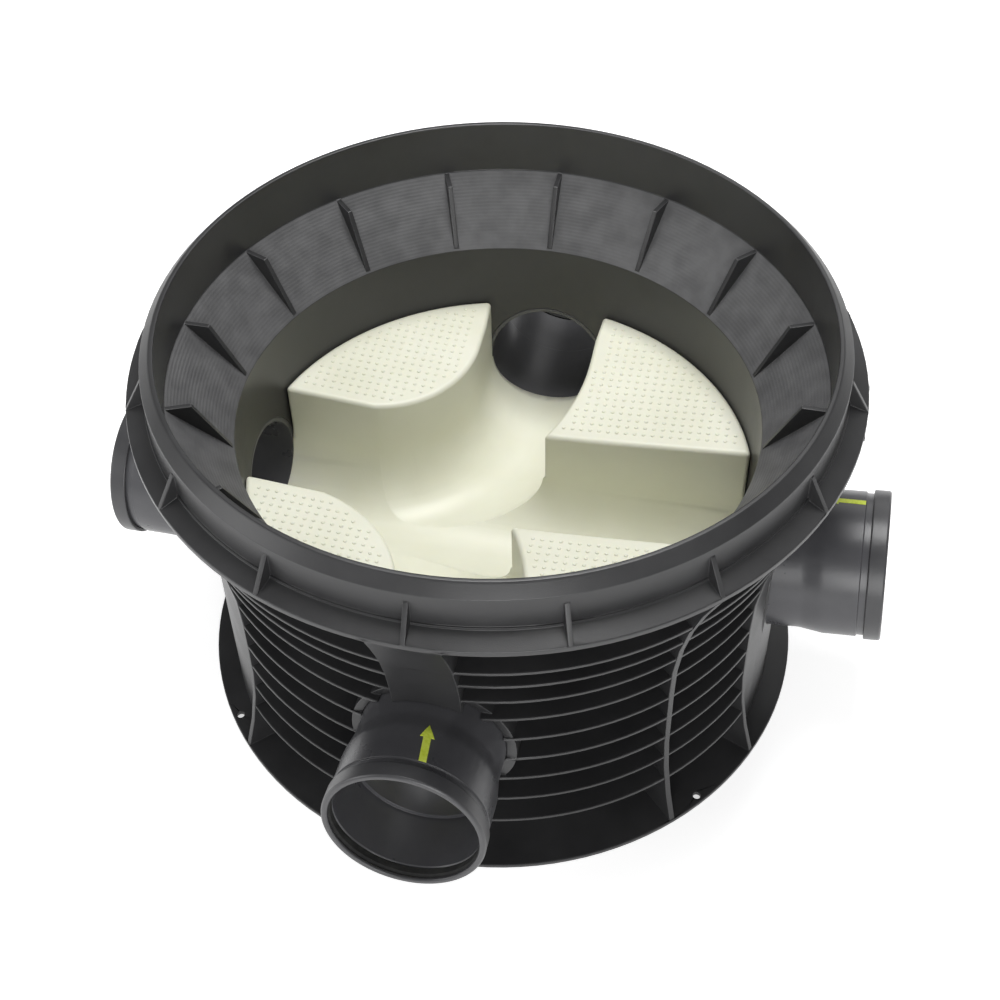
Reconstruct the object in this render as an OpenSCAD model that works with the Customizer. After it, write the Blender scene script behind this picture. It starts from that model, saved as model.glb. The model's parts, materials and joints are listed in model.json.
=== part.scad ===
// Inspection chamber base for buried drains: a ribbed round chamber with a wide riser
// collar, four pipe sockets at right angles and a pale benching insert with swept channels.
// Millimetres, +Z up, origin on the ground at the centre of the chamber.
// The front inlet points along -Y, the rear inlet +Y, the right inlet +X, the outlet -X.

/* [Chamber] */
// Overall height from the ground to the rim
height = 517; // [500:1:560]
// Inner radius of the round chamber
chamber_r = 302; // [296:1:310]
// Thickness of the chamber wall
wall = 8; // [6:0.5:10]
// Height of the inside floor under the insert
floor_z = 100; // [90:1:106]
// Thickness of the inside floor
floor_t = 8; // [6:1:12]
// Outer radius of the foot flange
foot_r = 374; // [366:1:380]
// Thickness of the foot flange
foot_t = 6; // [5:0.5:8]

/* [Riser collar] */
// Inner radius of the collar that takes the riser
collar_r = 370; // [364:1:374]
// Depth of the collar from the rim to the riser seat
collar_depth = 68.5; // [60:0.5:72]
// Thickness of the collar wall
collar_wall = 17; // [14:0.5:19]
// Width of the flat lip on top of the rim
lip_w = 7; // [5:0.5:9]
// Height of the sloped shoulder under the lip
shoulder_h = 13; // [9:1:18]
// Outer radius of the flange round the collar
flange_r = 410; // [404:1:416]
// Height of the flange's edge
flange_t = 7; // [5:0.5:9]
// Fall of the deck from the collar to the flange's edge
deck_fall = 7; // [4:1:10]
// Height of the cone from the chamber wall up to the riser seat
cone_h = 72.5; // [66:0.5:78]

/* [Fins and gussets] */
// Number of support fins in the cone and of gussets on the collar
fin_count = 16; // [8:4:24]
// Thickness of a support fin
fin_t = 6; // [4:0.5:8]
// Width of the riser seat on top of a fin
seat_w = 30; // [24:1:36]
// Height that the cone runs on above the support fins
cone_over = 1; // [0.5:0.5:3]
// Thickness of a collar gusset
gusset_t = 5.5; // [4:0.5:8]
// Drop from the rim to the top of a gusset
gusset_drop = 23; // [20:1:28]

/* [Outside ribs] */
// Number of rings round the chamber
ring_count = 9; // [7:1:10]
// Distance from one ring to the next
ring_pitch = 37.5; // [33:0.5:38]
// Height of the lowest ring's middle
ring_z = 73; // [66:1:78]
// Thickness of a ring
ring_t = 4; // [3:0.5:6]
// Radius of the waist that the rings' edges follow
waist_r = 349; // [344:1:352]
// Height up to which the foot flares
foot_h = 150; // [130:5:170]
// Height at which the flare under the collar starts
flare_z = 235; // [220:5:260]
// Thickness of the four corner fins
corner_t = 7; // [5:0.5:10]
// Thickness of the smooth cover panels
panel_t = 6; // [5:0.5:8]
// Angle that a cover panel spans
panel_angle = 68; // [60:1:74]
// Diameter of the anchor holes in the foot
anchor_d = 9; // [6:0.5:11]
// Inset of an anchor hole from the foot's edge
anchor_inset = 9; // [8:0.5:12]
// Angle from a corner fin to its anchor hole
anchor_angle = 7; // [5:0.5:10]
// How far the fins stand proud of the rings
fin_proud = 0.5; // [0.5:0.5:2]
// How far the cover panels lie below the rings' edges
panel_inset = 2; // [1.5:0.5:4]

/* [Ports and sockets] */
// Height of the pipe axis above the ground
port_z = 198; // [194:1:204]
// Outer radius of the drain pipe
pipe_r = 80; // [79:0.5:81]
// Clearance of the pipe in its socket
pipe_gap = 0.3; // [0.2:0.1:0.5]
// Bore radius of a socket's neck
neck_r = 76; // [74:0.5:77]
// Wall of a socket's neck
neck_wall = 5.5; // [5:0.5:7]
// Wall of a socket
socket_wall = 5.7; // [5:0.1:7]
// Distance from the chamber axis to the pipe stop in a socket
stop_x = 384; // [380:1:390]
// Depth of a socket from the pipe stop to its mouth
socket_depth = 83; // [80:1:95]
// Length of the shoulder from the neck to the socket
shoulder_l = 28; // [20:1:32]
// Distance from the pipe stop to the shoulder's outer end
shoulder_end = 16; // [10:1:18]
// Upward tilt of the three inlet sockets
inlet_tilt = 5.5; // [0:0.5:7.5]
// Outer radius of the seal cap
cap_r = 88.5; // [88:0.5:91]
// Length of the seal cap
cap_l = 20; // [18:1:24]
// Width of the groove behind the seal cap
groove_w = 8; // [6:1:10]
// Depth of that groove
groove_d = 2; // [1:0.5:2.5]
// Thickness of the seal cap's front lip
cap_lip = 4; // [3:0.5:5]
// Overlap of the seal cap on the socket
cap_hold = 4; // [3:0.5:6]
// Radius of the boss that holds a neck
boss_r = 93; // [91:1:96]
// Distance from the chamber axis to the end of a boss
boss_x = 336; // [330:1:340]
// Width of the pylon above a port
pylon_w = 76; // [60:2:90]
// Clearance between pieces that are pushed together
seat_gap = 0.3; // [0.2:0.1:0.5]

/* [Benching insert] */
// Height of the benches at the chamber wall
bench_z = 290; // [284:1:296]
// Height that the benches lose towards the middle
bench_fall = 28; // [16:1:32]
// Wall of the insert
bench_wall = 6; // [4:0.5:8]
// Gap between the insert and the chamber wall
bench_gap = 0.6; // [0.4:0.1:1]
// Radius of the side channels
side_r = 72; // [68:0.5:73]
// Bend radius of the rear side channel
rear_bend = 210; // [190:5:230]
// Bend radius of the front side channel
front_bend = 230; // [200:5:240]
// Length over which a side channel widens to its port
flare_l = 60; // [40:5:80]

/* [Underside] */
// Number of webs under the floor
web_count = 8; // [4:2:12]
// Thickness of a web
web_t = 6; // [4:1:8]
// Outer radius of the hub under the floor
hub_r = 60; // [50:2:80]
// Height of the webs above the ground
web_lift = 3; // [2:0.5:6]

/* [Hidden] */
$fn = 72;

// How far a piece runs into its neighbour of the same moulding, and past what it cuts
bite = 3;

wall_r = chamber_r + wall;
seat_z = height - collar_depth;
cone_z = seat_z - cone_h;
collar_out = collar_r + collar_wall;
deck_z = seat_z + flange_t + deck_fall;
gusset_z = height - gusset_drop;
// The flare from the waist to the flange, and from the waist to the foot
flare_r = flange_r - waist_r;
foot_w = foot_r - waist_r;
// Half the angle that a port's boss takes up on the cover panels
port_angle = asin(boss_r / (waist_r - panel_inset)) + 0.6;

bore_r = pipe_r + pipe_gap;
socket_r = bore_r + socket_wall;
neck_out = neck_r + neck_wall;
hole_r = neck_out + seat_gap;
mouth_x = stop_x + socket_depth;
cap_x = mouth_x - cap_l;
rim_r = socket_r - groove_d;
// Where a neck starts, before it is cut flush with the chamber's inside
neck_x = chamber_r - 3 * wall;
rim_x = cap_x + cap_hold;
// The level outlet socket is set out until it reaches as far as the tilted inlets
outlet_out = (mouth_x - chamber_r) * (cos(inlet_tilt) - 1) + (cap_r - 2) * sin(inlet_tilt);

// The directions of the ports, and of the corner fins between them
FRONT = -90;
RIGHT = 0;
REAR = 90;
LEFT = 180;
PORTS = [FRONT, RIGHT, REAR, LEFT];
CORNERS = [-45, 45, 135, 225];

// Radius of the rings' edges at height z: a straight waist with a flare at each end
function waist(z) = waist_r
    + (z > flare_z ? flare_r * pow((z - flare_z) / (seat_z - flare_z), 2) : 0);
function outline(z) = waist(z)
    + (z < foot_h ? foot_w * pow(1 - z / foot_h, 2) : 0);

// ---- one moulding: chamber, collar, rings, fins and foot ----

module chamber_section() {
    polygon([
        [0, floor_z - floor_t], [0, floor_z], [chamber_r, floor_z],
        [chamber_r, cone_z], [collar_r, seat_z + cone_over], [collar_r, height - 1],
        [collar_r + 1, height], [collar_r + lip_w - 2, height],
        [collar_r + lip_w, height - 2], [collar_out, height - shoulder_h],
        [collar_out, deck_z + 3], [collar_out + 2, deck_z + 3],
        [collar_out + 2, deck_z], [flange_r - 1, seat_z + flange_t],
        [flange_r, seat_z + flange_t - 1], [flange_r, seat_z],
        [collar_r + wall, seat_z], [wall_r, cone_z],
        [wall_r, foot_t], [foot_r - 1, foot_t], [foot_r, foot_t - 1], [foot_r, 0],
        [chamber_r, 0], [chamber_r, floor_z - floor_t]]);
}

// The ring numbered i, as the corners of its section from the top down
function ring(i) = let (z = ring_z + i * ring_pitch, r = outline(z), h = ring_t / 2)
    [[wall_r - 1, z + h], [r - 1, z + h], [r, z + h - 1], [r, z - h], [wall_r - 1, z - h]];

// The rings between two cover panels, on a common root inside the wall
module rings(start) {
    top = ring_count - 1;
    rotate([0, 0, start]) rotate_extrude(angle = 180 - panel_angle)
        polygon(concat([[wall_r - bite, ring(0)[4][1]], [wall_r - bite, ring(top)[0][1]]],
                       [for (i = [top:-1:0]) each ring(i)]));
}

// A thin plate that stands on the radius at the given angle, t thick
module plate(angle, t) {
    rotate([0, 0, angle]) rotate([90, 0, 0])
        linear_extrude(height = t, center = true) children();
}

// Fins that carry the riser, in the cone
module support_fin(angle) {
    plate(angle, fin_t)
        polygon([[collar_r + bite, seat_z], [collar_r - seat_w, seat_z],
                 [chamber_r + 2, cone_z + 3], [chamber_r + 2 + bite, cone_z]]);
}

module gusset(angle) {
    plate(angle, gusset_t)
        polygon([[collar_out - bite, gusset_z], [collar_out + 1, gusset_z],
                 [flange_r - 0.5, seat_z + flange_t], [flange_r - 0.5, seat_z + bite],
                 [collar_out - bite, seat_z + bite]]);
}

// A fin on the outside from z0 up to the flange, whose edge follows the rings' edges
module outer_fin(angle, t, z0, steps = 10) {
    zs = [for (i = [0:steps]) z0 + (seat_z - z0) * i / steps];
    plate(angle, t)
        polygon(concat([[wall_r - bite, z0]],
                       [for (z = zs) [min(outline(z) + fin_proud, flange_r - 1), z]],
                       [[flange_r - 1, seat_z + bite], [collar_r + wall, seat_z + bite],
                        [collar_r + wall - bite, seat_z], [wall_r - bite, cone_z]]));
}

// A smooth panel over the outside from the foot up to the height top, that spans an angle
module cover_panel(start, span, top, inset = panel_inset, steps = 8) {
    flare_h = max(top - flare_z, 0);
    zs = concat([foot_t / 2], flare_h == 0 ? [top]
        : [for (i = [0:steps]) flare_z + flare_h * i / steps]);
    rotate([0, 0, start]) rotate_extrude(angle = span)
        polygon(concat([for (z = zs) [waist(z) - inset, z]],
                       [for (i = [len(zs) - 1:-1:0])
                        [waist(zs[i]) - inset - panel_t, zs[i]]]));
}

// The panels at one port: one on each side of the port, and one under it that runs into both
module cover_panels(port) {
    lap = 1;
    side = CORNERS[1] - port_angle;
    cover_panel(port + port_angle, side, seat_z);
    cover_panel(port - panel_angle + CORNERS[1], panel_angle - side - 2 * port_angle, seat_z);
    cover_panel(port - port_angle - lap, 2 * (port_angle + lap), port_z, panel_inset + lap);
}

// Places what is drawn along +X from the chamber's axis at a port, with the port's tilt
module at_port(port) {
    rotate([0, 0, port]) translate([chamber_r + (port == LEFT ? outlet_out : 0), 0, port_z])
        rotate([0, port == LEFT ? 0 : -inlet_tilt, 0]) translate([-chamber_r, 0, 0])
            children();
}

module port_boss(angle) {
    rotate([0, 0, angle]) difference() {
        translate([0, 0, port_z]) rotate([0, 90, 0]) cylinder(r = boss_r, h = boss_x);
        translate([0, 0, port_z - boss_r - bite])
            cylinder(r = wall_r - bite, h = 2 * (boss_r + bite));
    }
    outer_fin(angle, pylon_w, port_z + boss_r / 2, 8);
}

module underside_webs() {
    h = floor_z - floor_t - web_lift + bite;
    for (i = [0:web_count - 1])
        rotate([0, 0, (i + 0.5) * 360 / web_count])
            translate([hub_r - bite, -web_t / 2, web_lift])
                cube([chamber_r - hub_r + 2 * bite, web_t, h]);
    translate([0, 0, web_lift]) difference() {
        cylinder(r = hub_r, h = h);
        translate([0, 0, -bite]) cylinder(r = hub_r - web_t, h = h);
    }
}

module chamber_body() {
    color("#2b2b2d") difference() {
        union() {
            rotate_extrude() chamber_section();
            for (i = [0:fin_count - 1]) {
                support_fin(i * 360 / fin_count);
                gusset(i * 360 / fin_count);
            }
            for (a = CORNERS) outer_fin(a, corner_t, foot_t / 2);
            for (a = [RIGHT, LEFT]) {
                cover_panels(a);
                rings(a + CORNERS[1]);
                outer_fin(a + CORNERS[1] - panel_angle, panel_t, foot_t / 2);
            }
            for (a = PORTS) port_boss(a);
            underside_webs();
        }
        for (a = PORTS) at_port(a) translate([neck_x, 0, 0]) rotate([0, 90, 0])
            cylinder(r = hole_r, h = foot_r - neck_x);
        for (side = [RIGHT, LEFT]) for (turn = [-1, 1])
            rotate([0, 0, side + turn * (45 - anchor_angle)])
                translate([foot_r - anchor_inset, 0, -bite])
                    cylinder(d = anchor_d, h = foot_t + 2 * bite, $fn = 24);
    }
}

// ---- sockets, seal caps and lip seals, each turned about the pipe axis ----

// Turns a section, drawn as [distance from the chamber axis, radius], about a port's axis
module turned(angle) {
    at_port(angle) rotate([0, 90, 0])
        rotate_extrude() rotate([0, 0, 90]) mirror([0, 1]) children();
}

module socket(angle) {
    color("#29292b") difference() {
        turned(angle) polygon([
            [neck_x, neck_r], [stop_x, neck_r], [stop_x, bore_r],
            [rim_x - 2, bore_r], [rim_x, bore_r + 2], [rim_x, rim_r],
            [cap_x - groove_w, rim_r], [cap_x - groove_w, socket_r],
            [stop_x + shoulder_end, socket_r],
            [stop_x + shoulder_end - shoulder_l, neck_out], [neck_x, neck_out]]);
        translate([0, 0, port_z - boss_r]) cylinder(r = chamber_r, h = 2 * boss_r, $fn = 144);
    }
}

module seal_cap(angle) {
    inner = rim_r + seat_gap;
    color("#303032") turned(angle) polygon([
        [cap_x, inner], [rim_x + seat_gap, inner], [rim_x + seat_gap, socket_r + 0.6],
        [mouth_x - cap_lip, socket_r + 0.6], [mouth_x - cap_lip, bore_r + 0.7],
        [mouth_x - 1.5, bore_r + 0.7], [mouth_x, bore_r + 2.2], [mouth_x, cap_r - 2],
        [mouth_x - 2, cap_r], [cap_x + 1, cap_r], [cap_x, cap_r - 1]]);
}

// The lip is drawn pressed flat, as it lies with a pipe in the socket
module lip_seal(angle) {
    back = rim_x + 2 * seat_gap;
    front = mouth_x - cap_lip - seat_gap;
    outer = socket_r + 0.6 - seat_gap;
    lip = bore_r + 0.2;
    color("#141414") turned(angle) polygon([
        [back, lip], [back + 7, lip], [front, lip + 2.2], [front, outer],
        [front - 3, outer], [front - 3.6, outer - 1], [front - 6, outer - 1],
        [front - 6.6, outer], [back, outer]]);
}

// ---- benching insert with its channels ----

// Section of a channel: half a pipe below the axis and straight sides above it
module channel_section(r) {
    circle(r = r);
    translate([-r, 0]) square([2 * r, bench_z - port_z + 2 * bite]);
}

// A straight channel along the direction a, from the distance x0 to x1
module straight_channel(a, r, x0, x1) {
    rotate([0, 0, a]) translate([x0, 0, port_z]) rotate([90, 0, 90])
        linear_extrude(height = x1 - x0) channel_section(r);
}

// A side channel comes in along Y, bends towards -X and joins the main channel.
// side is 1 for the rear and -1 for the front
module swept_channel(side, r, bend) {
    reach = chamber_r + bite;
    mirror([0, side < 0 ? 1 : 0, 0]) {
        translate([-bend, bend, port_z]) rotate([0, 0, -90])
            rotate_extrude(angle = 90) translate([bend, 0]) channel_section(r);
        straight_channel(REAR, r, bend, reach);
    }
}

// Widening of a side channel to the bore of its port
module port_flare(side, t) {
    far = chamber_r + bite;
    near = chamber_r - flare_l;
    h = bench_z - port_z + 2 * bite;
    rotate([0, 0, side * 90]) translate([0, 0, port_z]) {
        translate([near, 0, 0]) rotate([0, 90, 0])
            cylinder(r1 = side_r + t - 0.5, r2 = neck_r + t, h = far - near);
        linear_extrude(height = h)
            polygon([[near, -side_r - t + 0.5], [far, -neck_r - t],
                     [far, neck_r + t], [near, side_r + t - 0.5]]);
    }
}

// All that water runs through, grown by t
module channels(t) {
    straight_channel(RIGHT, neck_r + t, -chamber_r - bite, chamber_r + bite);
    swept_channel(1, side_r + t, rear_bend);
    swept_channel(-1, side_r + t, front_bend);
    port_flare(1, t);
    port_flare(-1, t);
}

// The insert's outer form from z0 up: a drum whose top falls towards the middle
module bench_drum(r, z0, drop) {
    low = bench_z - drop - bench_fall;
    difference() {
        translate([0, 0, z0]) cylinder(r = r, h = bench_z - drop - z0, $fn = 144);
        translate([0, 0, low]) cylinder(r1 = 0, r2 = chamber_r, h = bench_fall, $fn = 144);
    }
}

module benching() {
    r = chamber_r - bench_gap;
    color("#e9e6cf") difference() {
        bench_drum(r, floor_z, 0);
        channels(0);
        difference() {
            bench_drum(r - bench_wall, floor_z - bite, bench_wall);
            channels(bench_wall);
        }
    }
}

chamber_body();
benching();
socket(FRONT);  // socket_front
socket(RIGHT);  // socket_right
socket(REAR);  // socket_rear
socket(LEFT);  // socket_left
seal_cap(FRONT);  // seal_cap_front
seal_cap(RIGHT);  // seal_cap_right
seal_cap(REAR);  // seal_cap_rear
seal_cap(LEFT);  // seal_cap_left
lip_seal(FRONT);  // lip_seal_front
lip_seal(RIGHT);  // lip_seal_right
lip_seal(REAR);  // lip_seal_rear
lip_seal(LEFT);  // lip_seal_left
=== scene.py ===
# %% [markdown]
# # A drain inspection chamber
# A chamber base stands where buried drains meet. A black ribbed pot carries a wide collar
# for the riser above it, four sockets take the pipes, and a cream benching insert guides
# the water through its channels. The solids come from CAD as a fixed frame. This lesson
# adds what a mould and a workshop add: rounded edges, the studs on the benches, the flow
# arrows and the finish of each plastic.

# %% Load the frame
import json
import math

import bmesh
import bpy
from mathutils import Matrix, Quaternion, Vector
from mathutils.bvhtree import BVHTree


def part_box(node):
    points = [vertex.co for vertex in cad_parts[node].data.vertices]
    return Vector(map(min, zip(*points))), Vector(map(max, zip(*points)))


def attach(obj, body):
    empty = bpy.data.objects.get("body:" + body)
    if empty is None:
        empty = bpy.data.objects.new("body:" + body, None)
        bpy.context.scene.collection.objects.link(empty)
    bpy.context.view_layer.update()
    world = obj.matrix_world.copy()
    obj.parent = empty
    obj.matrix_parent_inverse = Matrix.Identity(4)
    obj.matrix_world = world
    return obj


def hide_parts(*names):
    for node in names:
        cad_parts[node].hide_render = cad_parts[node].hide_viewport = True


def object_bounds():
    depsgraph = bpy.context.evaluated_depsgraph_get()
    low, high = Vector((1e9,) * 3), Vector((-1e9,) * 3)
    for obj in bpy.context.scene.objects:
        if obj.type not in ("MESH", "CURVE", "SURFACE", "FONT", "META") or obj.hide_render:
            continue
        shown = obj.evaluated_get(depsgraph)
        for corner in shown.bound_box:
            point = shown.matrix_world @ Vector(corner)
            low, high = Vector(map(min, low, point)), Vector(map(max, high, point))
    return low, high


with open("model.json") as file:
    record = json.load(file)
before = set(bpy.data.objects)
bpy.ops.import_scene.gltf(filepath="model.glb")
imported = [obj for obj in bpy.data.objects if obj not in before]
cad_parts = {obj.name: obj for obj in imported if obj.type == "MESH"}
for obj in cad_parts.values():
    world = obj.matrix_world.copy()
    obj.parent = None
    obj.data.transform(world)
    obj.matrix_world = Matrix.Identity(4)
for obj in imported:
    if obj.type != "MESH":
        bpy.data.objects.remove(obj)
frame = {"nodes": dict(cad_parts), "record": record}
parts = frame["nodes"]
first_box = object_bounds()
low, high = first_box
print("the object measures", [round(v, 3) for v in high - low])

# %% [markdown]
# ## The sizes that the rest is placed by
# Every position is read from the frame: a node's box gives its ends, and the record gives
# the collar's bore. So the scene follows the solids when they change, and no size is
# written twice.

# %% Sizes from the frame
mounts = {m["name"]: m for m in frame["record"]["mounts"]}
COLLAR_BORE = mounts["riser_collar"]["dims"]["r_mm"] / 1000
RIM_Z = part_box("chamber_body")[1].z
BENCH_LOW, BENCH_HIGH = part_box("benching")
CHAMBER_BORE = BENCH_HIGH.x
PORTS = ("front", "right", "rear", "left")
print("collar bore", COLLAR_BORE, "chamber bore", round(CHAMBER_BORE, 4))

# %% [markdown]
# ## The camera
# A product view of a chamber looks down into it, so that the channels show. A camera can
# be placed by hand, by a track-to constraint, or by a direction and a distance from a
# point. The last is used: its few numbers say what the view is.

# %% Camera
VIEW_AZIMUTH = math.radians(13.56)
VIEW_ELEVATION = math.radians(46.94)
VIEW_ROLL = -0.025
VIEW_DISTANCE = 1.548
VIEW_LENS = 57.39
SENSOR = 36
FAR_END = 60
AIM = Vector((0.0636, -0.2634, RIM_Z))

back = Vector((math.sin(VIEW_AZIMUTH) * math.cos(VIEW_ELEVATION),
               -math.cos(VIEW_AZIMUTH) * math.cos(VIEW_ELEVATION),
               math.sin(VIEW_ELEVATION)))
camera = bpy.data.objects.new("camera", bpy.data.cameras.new("camera"))
bpy.context.scene.collection.objects.link(camera)
camera.data.lens = VIEW_LENS
camera.data.sensor_width = SENSOR
camera.data.clip_end = FAR_END
camera.rotation_mode = "QUATERNION"
camera.location = AIM + back * VIEW_DISTANCE
camera.rotation_quaternion = ((-back).to_track_quat("-Z", "Y")
                              @ Quaternion((0, 0, 1), VIEW_ROLL))
bpy.context.scene.camera = camera
bpy.context.scene.view_settings.view_transform = "Standard"
print("camera at", [round(v, 3) for v in camera.location])

# %% [markdown]
# ## Helpers for finishes
# A finish is a small graph of nodes. It can be made by hand in the editor or in a script,
# and a script keeps the numbers in view. These helpers place and join the nodes, so that
# a finish below reads as a list of what it is made of.

# %% Finish helpers
def new_finish(name):
    """An empty finish, as (material, function that adds a node, its shader)."""
    material = bpy.data.materials.new(name)
    material.use_nodes = True
    tree = material.node_tree
    shader = tree.nodes["Principled BSDF"]

    def add(kind, inputs=(), **settings):
        node = tree.nodes.new(kind)
        for key, value in settings.items():
            setattr(node, key, value)
        for socket, value in dict(inputs).items():
            if isinstance(value, bpy.types.NodeSocket):
                tree.links.new(value, node.inputs[socket])
            else:
                node.inputs[socket].default_value = value
        return node

    return material, add, shader, tree.links


def colour(red, green, blue):
    """A display colour, 0 to 255 a channel, as the linear colour that nodes work with."""
    def linear(v):
        v /= 255
        return v / 12.92 if v <= 0.04045 else ((v + 0.055) / 1.055) ** 2.4
    return (linear(red), linear(green), linear(blue), 1)


def ramp(add, factor, stops):
    """A colour ramp over a factor, from (position, colour) pairs."""
    node = add("ShaderNodeValToRGB", {"Fac": factor})
    elements = node.color_ramp.elements
    while len(elements) < len(stops):
        elements.new(0.5)
    for element, (position, tint) in zip(elements, stops):
        element.position = position
        element.color = tint
    return node.outputs["Color"]


# %% [markdown]
# ## Moulded polypropylene
# The chamber, the sockets and the caps are moulded in black polypropylene. Its skin is
# a little uneven: the steel of the mould leaves a fine grain, and handling leaves duller
# and brighter patches. Two noises do this, a coarse one for the patches and a fine one
# for the grain, both laid out in object space so that they have a real size.

# %% Black polypropylene
def black_plastic(name, dark, light, gloss, grain):
    """Black polypropylene between two shades, with its middle roughness and grain height.

    Returns the material, and what a later cell needs to add to it.
    """
    material, add, shader, links = new_finish(name)
    place = add("ShaderNodeTexCoord").outputs["Object"]
    patches = add("ShaderNodeTexNoise", {"Vector": place, "Scale": 9, "Detail": 5,
                                         "Roughness": 0.6}).outputs["Fac"]
    fine = add("ShaderNodeTexNoise", {"Vector": place, "Scale": 900,
                                      "Detail": 2}).outputs["Fac"]
    links.new(ramp(add, patches, [(0.32, dark), (0.68, light)]), shader.inputs["Base Color"])
    rough = add("ShaderNodeMapRange", {"Value": patches, "From Min": 0.3, "From Max": 0.7,
                                       "To Min": gloss - 0.05, "To Max": gloss + 0.06})
    links.new(rough.outputs["Result"], shader.inputs["Roughness"])
    bump = add("ShaderNodeBump", {"Height": fine, "Strength": 0.25, "Distance": grain})
    links.new(bump.outputs["Normal"], shader.inputs["Normal"])
    return material, add, bump, place, links


chamber_finish, add, grain_bump, place, links = black_plastic(
    "chamber polypropylene", colour(42, 42, 43), colour(52, 52, 53), 0.38, 0.0004)
# The sockets' grey is lighter than the chamber's. This is painted reflection of the white
# surroundings that shine in their sides.
socket_plastic_and_sheen = black_plastic(
    "socket polypropylene and painted sheen", colour(69, 69, 72), colour(82, 82, 85), 0.30, 0.0003)[0]
cap_finish = black_plastic(
    "cap polypropylene", colour(58, 58, 60), colour(70, 70, 72), 0.34, 0.0003)[0]
print("black finishes", chamber_finish.name, socket_plastic_and_sheen.name, cap_finish.name)

# %% [markdown]
# ## The turned cone
# The mould's cone under the riser seat was turned on a lathe, and the tool's fine lines show
# in the plastic. They could be cut as grooves, but they are far finer than a millimetre. A
# sine of the radius gives them as a bump, in a zone found by radius, height and the slope of
# the surface, which leaves the upright fins as they are. The same zone takes a lighter grey,
# which is painted sheen: the cone's slope faces up into the lamps, and the light it catches
# is painted into its colour.

# %% Turned cone
LINE_PITCH = 0.003
WALL_GAP = 0.001
CONE_ABOVE_BENCH = 0.08
CONE_LEAST_SLOPE, CONE_MOST_SLOPE = 0.5, 0.9


def calculate(operation, first, second=0.0):
    """A math node's result, of two sockets or values."""
    return add("ShaderNodeMath", {0: first, 1: second}, operation=operation).outputs["Value"]


shader = chamber_finish.node_tree.nodes["Principled BSDF"]
split = add("ShaderNodeSeparateXYZ", {"Vector": place})
flat = add("ShaderNodeCombineXYZ", {"X": split.outputs["X"], "Y": split.outputs["Y"]})
radius = add("ShaderNodeVectorMath", {0: flat.outputs["Vector"]},
             operation="LENGTH").outputs["Value"]
facing = add("ShaderNodeSeparateXYZ",
             {"Vector": add("ShaderNodeTexCoord").outputs["Normal"]}).outputs["Z"]
zone = calculate("MULTIPLY", calculate("LESS_THAN", radius, COLLAR_BORE - WALL_GAP),
                 calculate("GREATER_THAN", split.outputs["Z"],
                           BENCH_HIGH.z + CONE_ABOVE_BENCH))
sloped = calculate("MULTIPLY", calculate("GREATER_THAN", facing, CONE_LEAST_SLOPE),
                   calculate("LESS_THAN", facing, CONE_MOST_SLOPE))
zone = calculate("MULTIPLY", zone, sloped)
wave = calculate("SINE", calculate("MULTIPLY", radius, math.tau / LINE_PITCH))
line_bump = add("ShaderNodeBump", {"Height": calculate("MULTIPLY", wave, zone),
                                   "Strength": 0.3, "Distance": 0.0002,
                                   "Normal": grain_bump.outputs["Normal"]})
links.new(line_bump.outputs["Normal"], shader.inputs["Normal"])
# Painted sheen: the cone's upward-facing slope gets a lighter, streaky grey for the light
# that falls on it.
sheen_streaks = add("ShaderNodeTexNoise", {"Vector": place, "Scale": 40,
                                     "Detail": 3}).outputs["Fac"]
painted_cone_sheen = add("ShaderNodeMix", {"Factor": zone}, data_type="RGBA")
links.new(shader.inputs["Base Color"].links[0].from_socket, painted_cone_sheen.inputs[6])
links.new(ramp(add, sheen_streaks, [(0.35, colour(78, 78, 79)), (0.65, colour(90, 90, 91))]),
          painted_cone_sheen.inputs[7])
links.new(painted_cone_sheen.outputs[2], shader.inputs["Base Color"])
print("cone lines every", LINE_PITCH * 1000, "mm")

# %% [markdown]
# ## Cream polypropylene
# The insert is pale so that a camera sees cracks and deposits. Plain polypropylene lets
# a little light into its skin, which softens its shaded sides, so the shader has some
# subsurface scattering. The patches are weak, because the piece is new.

# %% Cream polypropylene
bench_finish, add, shader, links = new_finish("cream polypropylene")
place = add("ShaderNodeTexCoord").outputs["Object"]
patches = add("ShaderNodeTexNoise", {"Vector": place, "Scale": 7, "Detail": 4}).outputs["Fac"]
fine = add("ShaderNodeTexNoise", {"Vector": place, "Scale": 700, "Detail": 2}).outputs["Fac"]
links.new(ramp(add, patches, [(0.3, colour(228, 228, 208)), (0.7, colour(237, 237, 220))]),
          shader.inputs["Base Color"])
rough = add("ShaderNodeMapRange", {"Value": patches, "From Min": 0.3, "From Max": 0.7,
                                   "To Min": 0.36, "To Max": 0.46})
links.new(rough.outputs["Result"], shader.inputs["Roughness"])
bump = add("ShaderNodeBump", {"Height": fine, "Strength": 0.2, "Distance": 0.0003})
links.new(bump.outputs["Normal"], shader.inputs["Normal"])
shader.inputs["Subsurface Weight"].default_value = 0.08
shader.inputs["Subsurface Radius"].default_value = (0.004, 0.003, 0.0015)
print("bench finish", bench_finish.name)

# %% [markdown]
# ## Seal rubber
# The lip seals are extruded rubber. It is matt and almost black, with a dusting of
# talc that keeps it from sticking before a pipe is pushed in.

# %% Seal rubber
rubber_finish, add, shader, links = new_finish("seal rubber")
place = add("ShaderNodeTexCoord").outputs["Object"]
talc = add("ShaderNodeTexNoise", {"Vector": place, "Scale": 120, "Detail": 4}).outputs["Fac"]
links.new(ramp(add, talc, [(0.4, colour(22, 22, 22)), (0.75, colour(46, 46, 45))]),
          shader.inputs["Base Color"])
rough = add("ShaderNodeMapRange", {"Value": talc, "To Min": 0.6, "To Max": 0.85})
links.new(rough.outputs["Result"], shader.inputs["Roughness"])
print("rubber finish", rubber_finish.name)

# %% [markdown]
# ## Arrow paint
# The flow arrows are stamped on with a yellow-green ink. The ink is thin, so its colour
# is a little uneven, and it shines less than the plastic.

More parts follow.
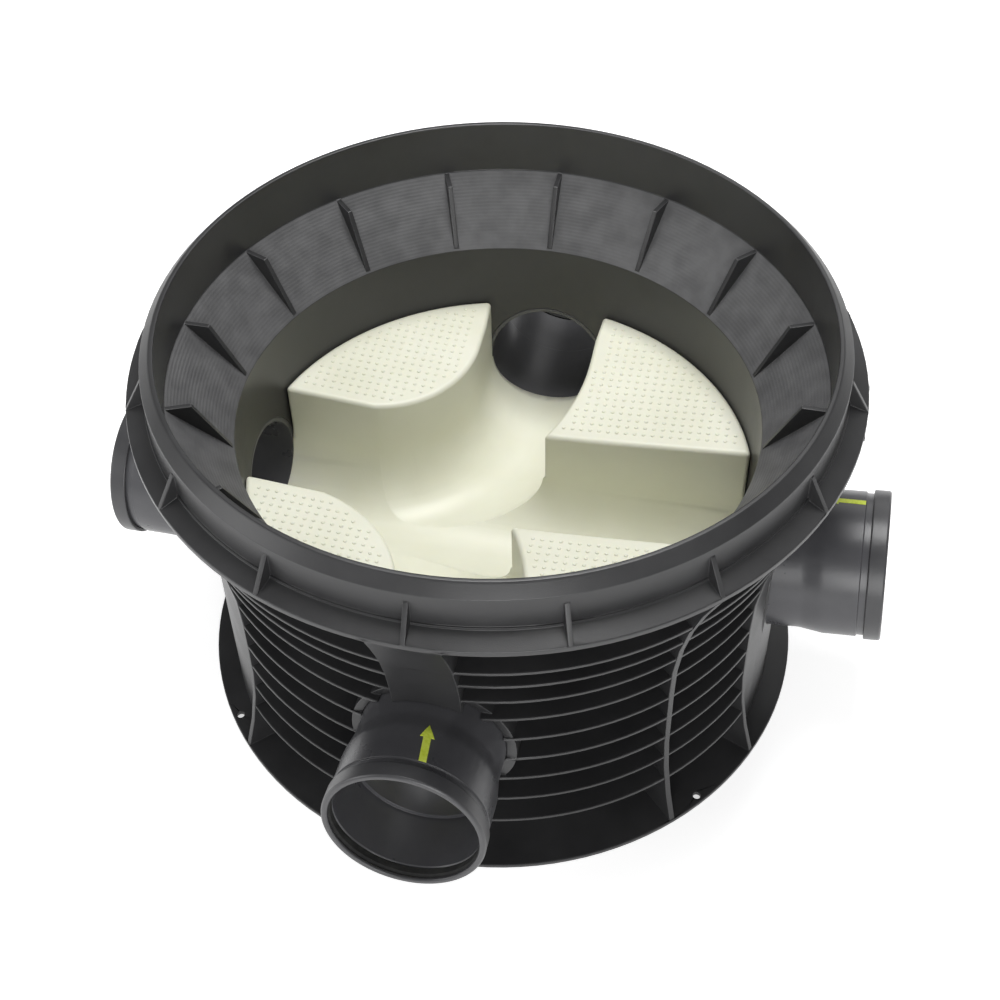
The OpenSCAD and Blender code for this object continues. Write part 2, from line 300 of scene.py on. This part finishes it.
# %% Arrow paint
paint_finish, add, shader, links = new_finish("arrow paint")
place = add("ShaderNodeTexCoord").outputs["Object"]
wear = add("ShaderNodeTexNoise", {"Vector": place, "Scale": 260, "Detail": 3}).outputs["Fac"]
links.new(ramp(add, wear, [(0.3, colour(214, 232, 60)), (0.7, colour(236, 250, 104))]),
          shader.inputs["Base Color"])
rough = add("ShaderNodeMapRange", {"Value": wear, "To Min": 0.45, "To Max": 0.6})
links.new(rough.outputs["Result"], shader.inputs["Roughness"])
print("paint finish", paint_finish.name)

# %% [markdown]
# ## Each CAD part gets its finish
# The frame's parts stay as they are. Only their material changes, by the kind of part
# that the name starts with.

# %% Dress the CAD parts
FINISH_OF = {"chamber": chamber_finish, "benching": bench_finish, "socket": socket_plastic_and_sheen,
             "seal": cap_finish, "lip": rubber_finish}
for name, part in parts.items():
    part.data.materials.clear()
    part.data.materials.append(FINISH_OF[name.split("_")[0]])
print("dressed", len(parts), "parts")

# %% [markdown]
# ## Tight edges on the black mouldings
# No moulded edge is sharp: the mould's corners are cut with a round tool. The mesh itself
# could be rebuilt with its edges rounded, but modifiers do it without a change to the
# solid. Weld joins the triangles at their corners, and a bevel cuts the edges that turn
# more than a set angle. A last modifier weights the normals by area, so that flat faces
# stay flat.

# %% Tight edges
BLACK_EDGE = 0.0008
SAME_POINT = 0.000002
BLACK_TURN = math.radians(40)


def weight_normals(piece):
    """Shades a piece smooth, with flat faces kept flat."""
    piece.modifiers.new("weighted normals", "WEIGHTED_NORMAL")


def tight_edges(part):
    """Rounds the edges of a black moulding."""
    weld = part.modifiers.new("joined corners", "WELD")
    weld.merge_threshold = SAME_POINT
    bevel = part.modifiers.new("rounded edges", "BEVEL")
    bevel.width = BLACK_EDGE
    bevel.segments = 2
    bevel.limit_method = "ANGLE"
    bevel.angle_limit = BLACK_TURN
    bevel.use_clamp_overlap = False
    weight_normals(part)


for name, part in parts.items():
    if name.startswith(("chamber", "socket", "seal")):
        tight_edges(part)
print("tight edges on", sum(1 for part in parts.values() if part.modifiers), "parts")

# %% [markdown]
# ## Wide soft edges on the insert
# The insert is a thick pale moulding whose benches have wide soft edges, so that nothing
# catches on them. A modifier can't tell a bench's edge from the rest, so this piece is
# copied into a mesh of its own, and its edges are chosen by where they are: those that
# turn sharply outwards, from the pipe's axis up. The bevel wants each bench top as one
# face, no very short edges, and a clear length of edge on each side of a bench's tip.
# Afterwards the tops are cut into cells, and the cells' corners are dropped back onto the
# solid, so that they keep their slope.

# %% The insert
INSERT_EDGE = 0.006
SHORT_EDGE = 0.0012
TIP_ROOM = 0.009
TOP_CELL = 0.03
TOP_AREA = 0.005
SAME_PLANE = math.radians(0.05)
BENCH_TURN = math.radians(72)
STEEP = 0.9

depsgraph = bpy.context.evaluated_depsgraph_get()
bench_tree = BVHTree.FromObject(parts["benching"], depsgraph)
DOWN = Vector((0, 0, -1))
AXIS_Z = mounts["socket_left_bore"]["pos_m"][2]
TOP_LEAST_Z = AXIS_Z + 0.05


def is_top(face):
    """Whether a face of the insert is part of a bench's top."""
    return face.normal.z > 0.99 and face.calc_center_median().z > TOP_LEAST_Z


def is_bench_edge(edge):
    """Whether an edge of the insert is one to round."""
    return (edge.is_convex and edge.calc_face_angle(0) > BENCH_TURN
            and min(v.co.z for v in edge.verts) > AXIS_Z - 0.001)


solid = bmesh.new()
solid.from_mesh(parts["benching"].data)
bmesh.ops.remove_doubles(solid, verts=solid.verts, dist=SAME_POINT)
bmesh.ops.dissolve_limit(solid, angle_limit=SAME_PLANE, verts=solid.verts,
                         edges=solid.edges)
solid.normal_update()
inside_top = [e for e in solid.edges if len(e.link_faces) == 2
              and all(is_top(f) for f in e.link_faces)]
bmesh.ops.dissolve_edges(solid, edges=inside_top, use_verts=False)
edge_corners = list({v for e in solid.edges if is_bench_edge(e) for v in e.verts})
bmesh.ops.remove_doubles(solid, dist=SHORT_EDGE, verts=edge_corners)
upright, rim = set(), set()
for edge in filter(is_bench_edge, solid.edges):
    rise = abs(edge.verts[0].co.z - edge.verts[1].co.z) / edge.calc_length()
    (upright if rise > STEEP else rim).update(edge.verts)
tips = upright & rim
crowded = {v for v in rim - tips if min((v.co - t.co).length for t in tips) < TIP_ROOM}
spare = rim - tips - crowded
bmesh.ops.weld_verts(solid, targetmap={
    v: min(spare, key=lambda other: (other.co - v.co).length) for v in crowded})
print("bench tips", len(tips), "with", len(crowded), "corners moved away from them")
bmesh.ops.bevel(solid, geom=[e for e in solid.edges if is_bench_edge(e)],
                offset=INSERT_EDGE, offset_type="OFFSET", segments=4, profile=0.5,
                affect="EDGES", clamp_overlap=False, miter_outer="ARC")
solid.normal_update()
tops = [f for f in solid.faces if is_top(f) and f.calc_area() > TOP_AREA]
print("bench tops", len(tops), "rounded edge", INSERT_EDGE)
for face in tops:
    face.material_index = 1
cuts = int(CHAMBER_BORE / TOP_CELL) + 1
for along in (Vector((1, 0, 0)), Vector((0, 1, 0))):
    for i in range(-cuts, cuts + 1):
        tops = [f for f in solid.faces if f.material_index == 1]
        bmesh.ops.bisect_plane(
            solid, geom=tops + list({e for f in tops for e in f.edges})
            + list({v for f in tops for v in f.verts}),
            plane_co=along * (i + 0.5) * TOP_CELL, plane_no=along, dist=SAME_POINT)
for corner in solid.verts:
    if all(f.material_index == 1 for f in corner.link_faces):
        corner.co.z = bench_tree.ray_cast(Vector((*corner.co.xy, RIM_Z)), DOWN)[0].z
for face in solid.faces:
    face.material_index = 0
    face.smooth = True
mesh = bpy.data.meshes.new("bench insert")
solid.to_mesh(mesh)
solid.free()
bench_insert = bpy.data.objects.new("bench_insert", mesh)
bpy.context.scene.collection.objects.link(bench_insert)
mesh.materials.append(bench_finish)
weight_normals(bench_insert)
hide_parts("benching")
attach(bench_insert, "root")
print("insert faces", len(mesh.polygons))

# %% [markdown]
# ## Studs on the benches
# A worker may stand on the benches, so their tops carry a grid of low studs against
# slipping. They could be a bump in the finish, but they are large enough to catch the
# light on their own. A ray is dropped on each point of the grid: a stud is set where the
# ray, and the rays around it, meet the top of a bench.

# %% Studs
STUD_PITCH = 0.011
STUD_R = 0.0026
STUD_H = 0.0012
STUD_SIDES = 10
STUD_ROOT = -0.0008
STUD_FOOT = 0.0002
STUD_CROWN = 0.62
EDGE_ROOM = 0.011
TOP_FALL = 0.035


def bench_top(x, y):
    """The point on top of a bench under (x, y), or None over a channel or the wall."""
    hit, normal = bench_tree.ray_cast(Vector((x, y, RIM_Z)), DOWN)[:2]
    if hit is None or hit.z < BENCH_HIGH.z - TOP_FALL or abs(normal.z) < 0.9:
        return None
    return hit


points, faces = [], []
reach = int(CHAMBER_BORE / STUD_PITCH) + 1
around = [(math.cos(math.tau * i / 8) * EDGE_ROOM, math.sin(math.tau * i / 8) * EDGE_ROOM)
          for i in range(8)]
studs = 0
for i in range(-reach, reach + 1):
    for j in range(-reach, reach + 1):
        x, y = (i + 0.5) * STUD_PITCH, (j + 0.5) * STUD_PITCH
        centre = bench_top(x, y)
        if centre is None or not all(bench_top(x + dx, y + dy) for dx, dy in around):
            continue
        first = len(points)
        for r, z in ((STUD_R, STUD_ROOT), (STUD_R, STUD_FOOT),
                     (STUD_R * STUD_CROWN, STUD_H)):
            points += [(x + r * math.cos(math.tau * k / STUD_SIDES),
                        y + r * math.sin(math.tau * k / STUD_SIDES),
                        centre.z + z) for k in range(STUD_SIDES)]
        for row in range(2):
            a = first + row * STUD_SIDES
            for k in range(STUD_SIDES):
                n = (k + 1) % STUD_SIDES
                faces.append((a + k, a + n, a + STUD_SIDES + n, a + STUD_SIDES + k))
        faces.append(tuple(first + 2 * STUD_SIDES + k for k in range(STUD_SIDES)))
        faces.append(tuple(first + k for k in reversed(range(STUD_SIDES))))
        studs += 1

mesh = bpy.data.meshes.new("bench studs")
mesh.from_pydata(points, [], faces)
bench_studs = bpy.data.objects.new("bench_studs", mesh)
bpy.context.scene.collection.objects.link(bench_studs)
mesh.materials.append(bench_finish)
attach(bench_studs, "root")
print("studs", studs)

# %% [markdown]
# ## Flow arrows
# An arrow on each socket shows the way that the water runs: towards the chamber on the
# three inlets, and away from it on the outlet. The arrow is drawn flat, as a strip cut
# into short steps. Each point is then pressed onto the socket by a ray towards the pipe's
# axis, so that the ink follows the socket and its sloped shoulder. The record's mounts
# give the axes. A stamp held by hand lands a little off the top and a little askew: each
# pair below is the angle from the top at the tail and at the tip.

# %% Arrows
ARROW_L = 0.048
ARROW_W = 0.0145
HEAD_L = 0.017
SHAFT_W = 0.0076
PAINT_T = 0.0004
ARROW_SHIFT = -0.002
ARROW_STEPS = 18
ARROW_OFF_TOP = {"front": (11, 8), "right": (13, 14), "rear": (2, 1), "left": (-1, 1)}


def half_width(t):
    """Half the arrow's width at t, from 0 at the tail to 1 at the tip."""
    from_tip = (1 - t) * ARROW_L
    return ARROW_W / 2 * from_tip / HEAD_L if from_tip <= HEAD_L else SHAFT_W / 2


def lay_arrow(port, sense):
    """A painted arrow on a socket. sense is 1 if it points out, and -1 if in."""
    mount = mounts["socket_" + port + "_bore"]
    middle, axis = Vector(mount["pos_m"]), Vector(mount["axis"])
    across = Vector((-axis.y, axis.x, 0)).normalized()
    top = axis.cross(across)
    socket_tree = BVHTree.FromObject(parts["socket_" + port], depsgraph)

    def pressed(along, angle, lift):
        """The point on the socket at a distance along its axis and an angle, lifted."""
        outward = top * math.cos(angle) + across * math.sin(angle)
        start = middle + axis * along
        hit = socket_tree.ray_cast(start + outward * 0.2, -outward)[0]
        return hit + outward * lift

    neck = 1 - HEAD_L / ARROW_L
    stations = sorted({i / ARROW_STEPS for i in range(ARROW_STEPS + 1)}
                      | {neck, neck + 0.001})
    bore = mount["dims"]["r_mm"] / 1000
    tail, tip = (math.radians(a) for a in ARROW_OFF_TOP[port])
    rings = []
    for t in stations:
        turned = tail + (tip - tail) * t
        along = ARROW_SHIFT + sense * (t - 0.5) * ARROW_L
        row = [turned + w * half_width(t) / bore for w in (-1, -0.5, 0, 0.5, 1)]
        rings.append([pressed(along, a, PAINT_T) for a in row]
                     + [pressed(along, a, -PAINT_T) for a in reversed(row)])
    count = len(rings[0])
    made = [p for ring in rings for p in ring]
    quads = [(r * count + k, r * count + (k + 1) % count,
              (r + 1) * count + (k + 1) % count, (r + 1) * count + k)
             for r in range(len(rings) - 1) for k in range(count)]
    quads += [tuple(range(count)),
              tuple(reversed(range((len(rings) - 1) * count, len(rings) * count)))]
    mesh = bpy.data.meshes.new("arrow")
    mesh.from_pydata(made, [], quads)
    mesh.validate()
    arrow = bpy.data.objects.new("flow_arrow_" + port, mesh)
    bpy.context.scene.collection.objects.link(arrow)
    mesh.materials.append(paint_finish)
    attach(arrow, "root")


for port in PORTS:
    lay_arrow(port, 1 if port == "left" else -1)
print("arrows on", PORTS)

# %% [markdown]
# ## The floor
# A plain pale floor carries the object's shadow. A camera sees it a little brighter than
# the lamps make it, which the light path allows without more light on the object.

# %% Floor
FLOOR_HALF = 12
FLOOR_GLOW = 0.6

mesh = bpy.data.meshes.new("floor")
mesh.from_pydata([(-FLOOR_HALF, -FLOOR_HALF, low.z), (FLOOR_HALF, -FLOOR_HALF, low.z),
                  (FLOOR_HALF, FLOOR_HALF, low.z), (-FLOOR_HALF, FLOOR_HALF, low.z)],
                 [], [(0, 1, 2, 3)])
floor = bpy.data.objects.new("floor", mesh)
bpy.context.scene.collection.objects.link(floor)

floor_finish, add, shader, links = new_finish("pale floor")
place = add("ShaderNodeTexCoord").outputs["Object"]
path = add("ShaderNodeLightPath")
seen = add("ShaderNodeMath", {0: path.outputs["Is Camera Ray"],
                              1: path.outputs["Is Glossy Ray"]}, operation="MAXIMUM")
seen = add("ShaderNodeMath", {0: seen.outputs["Value"],
                              1: path.outputs["Is Transmission Ray"]}, operation="MAXIMUM")
mottle = add("ShaderNodeTexNoise", {"Vector": place, "Scale": 3}).outputs["Fac"]
links.new(ramp(add, mottle, [(0.3, colour(240, 240, 240)), (0.7, colour(246, 246, 246))]),
          shader.inputs["Base Color"])
shader.inputs["Roughness"].default_value = 0.9
shader.inputs["Specular IOR Level"].default_value = 0.1
shader.inputs["Emission Color"].default_value = (1, 1, 1, 1)
glow = add("ShaderNodeMath", {0: seen.outputs["Value"], 1: FLOOR_GLOW},
           operation="MULTIPLY")
links.new(glow.outputs["Value"], shader.inputs["Emission Strength"])
mesh.materials.append(floor_finish)
print("floor at", round(low.z, 4))

# %% [markdown]
# ## The light
# A light tent lights the object evenly. The world gives the even part, and four large
# soft lamps give the direction: one overhead, one in front, one at the left and one
# behind. Large lamps keep the shadows soft and draw long highlights on the edges.

# %% World and lamps
TENT_LIGHT = 0.28
LAMP_AIM = Vector((0, 0, 0.3))

world = bpy.data.worlds.new("light tent")
world.use_nodes = True
bpy.context.scene.world = world
tree = world.node_tree
plain = tree.nodes["Background"]
plain.inputs["Color"].default_value = (1, 1, 1, 1)
plain.inputs["Strength"].default_value = TENT_LIGHT
white = tree.nodes.new("ShaderNodeBackground")
white.inputs["Color"].default_value = (1, 1, 1, 1)
white.inputs["Strength"].default_value = 1
rays = tree.nodes.new("ShaderNodeLightPath")
mix = tree.nodes.new("ShaderNodeMixShader")
tree.links.new(rays.outputs["Is Camera Ray"], mix.inputs[0])
tree.links.new(plain.outputs[0], mix.inputs[1])
tree.links.new(white.outputs[0], mix.inputs[2])
tree.links.new(mix.outputs[0], tree.nodes["World Output"].inputs["Surface"])


def soft_lamp(name, place, size, watts):
    """A square lamp that faces the chamber."""
    lamp = bpy.data.objects.new(name, bpy.data.lights.new(name, "AREA"))
    bpy.context.scene.collection.objects.link(lamp)
    lamp.data.size = size
    lamp.data.energy = watts
    lamp.location = place
    lamp.rotation_euler = (LAMP_AIM - lamp.location).to_track_quat("-Z", "Y").to_euler()


soft_lamp("overhead lamp", Vector((0.1, 0.4, 2.6)), 1.1, 48)
soft_lamp("front lamp", Vector((0.8, -3.0, 1.3)), 1.6, 50)
soft_lamp("left lamp", Vector((-2.4, -1.5, 1.2)), 1.4, 22)
soft_lamp("back lamp", Vector((0.6, 2.4, 1.7)), 1.4, 8)

# %% [markdown]
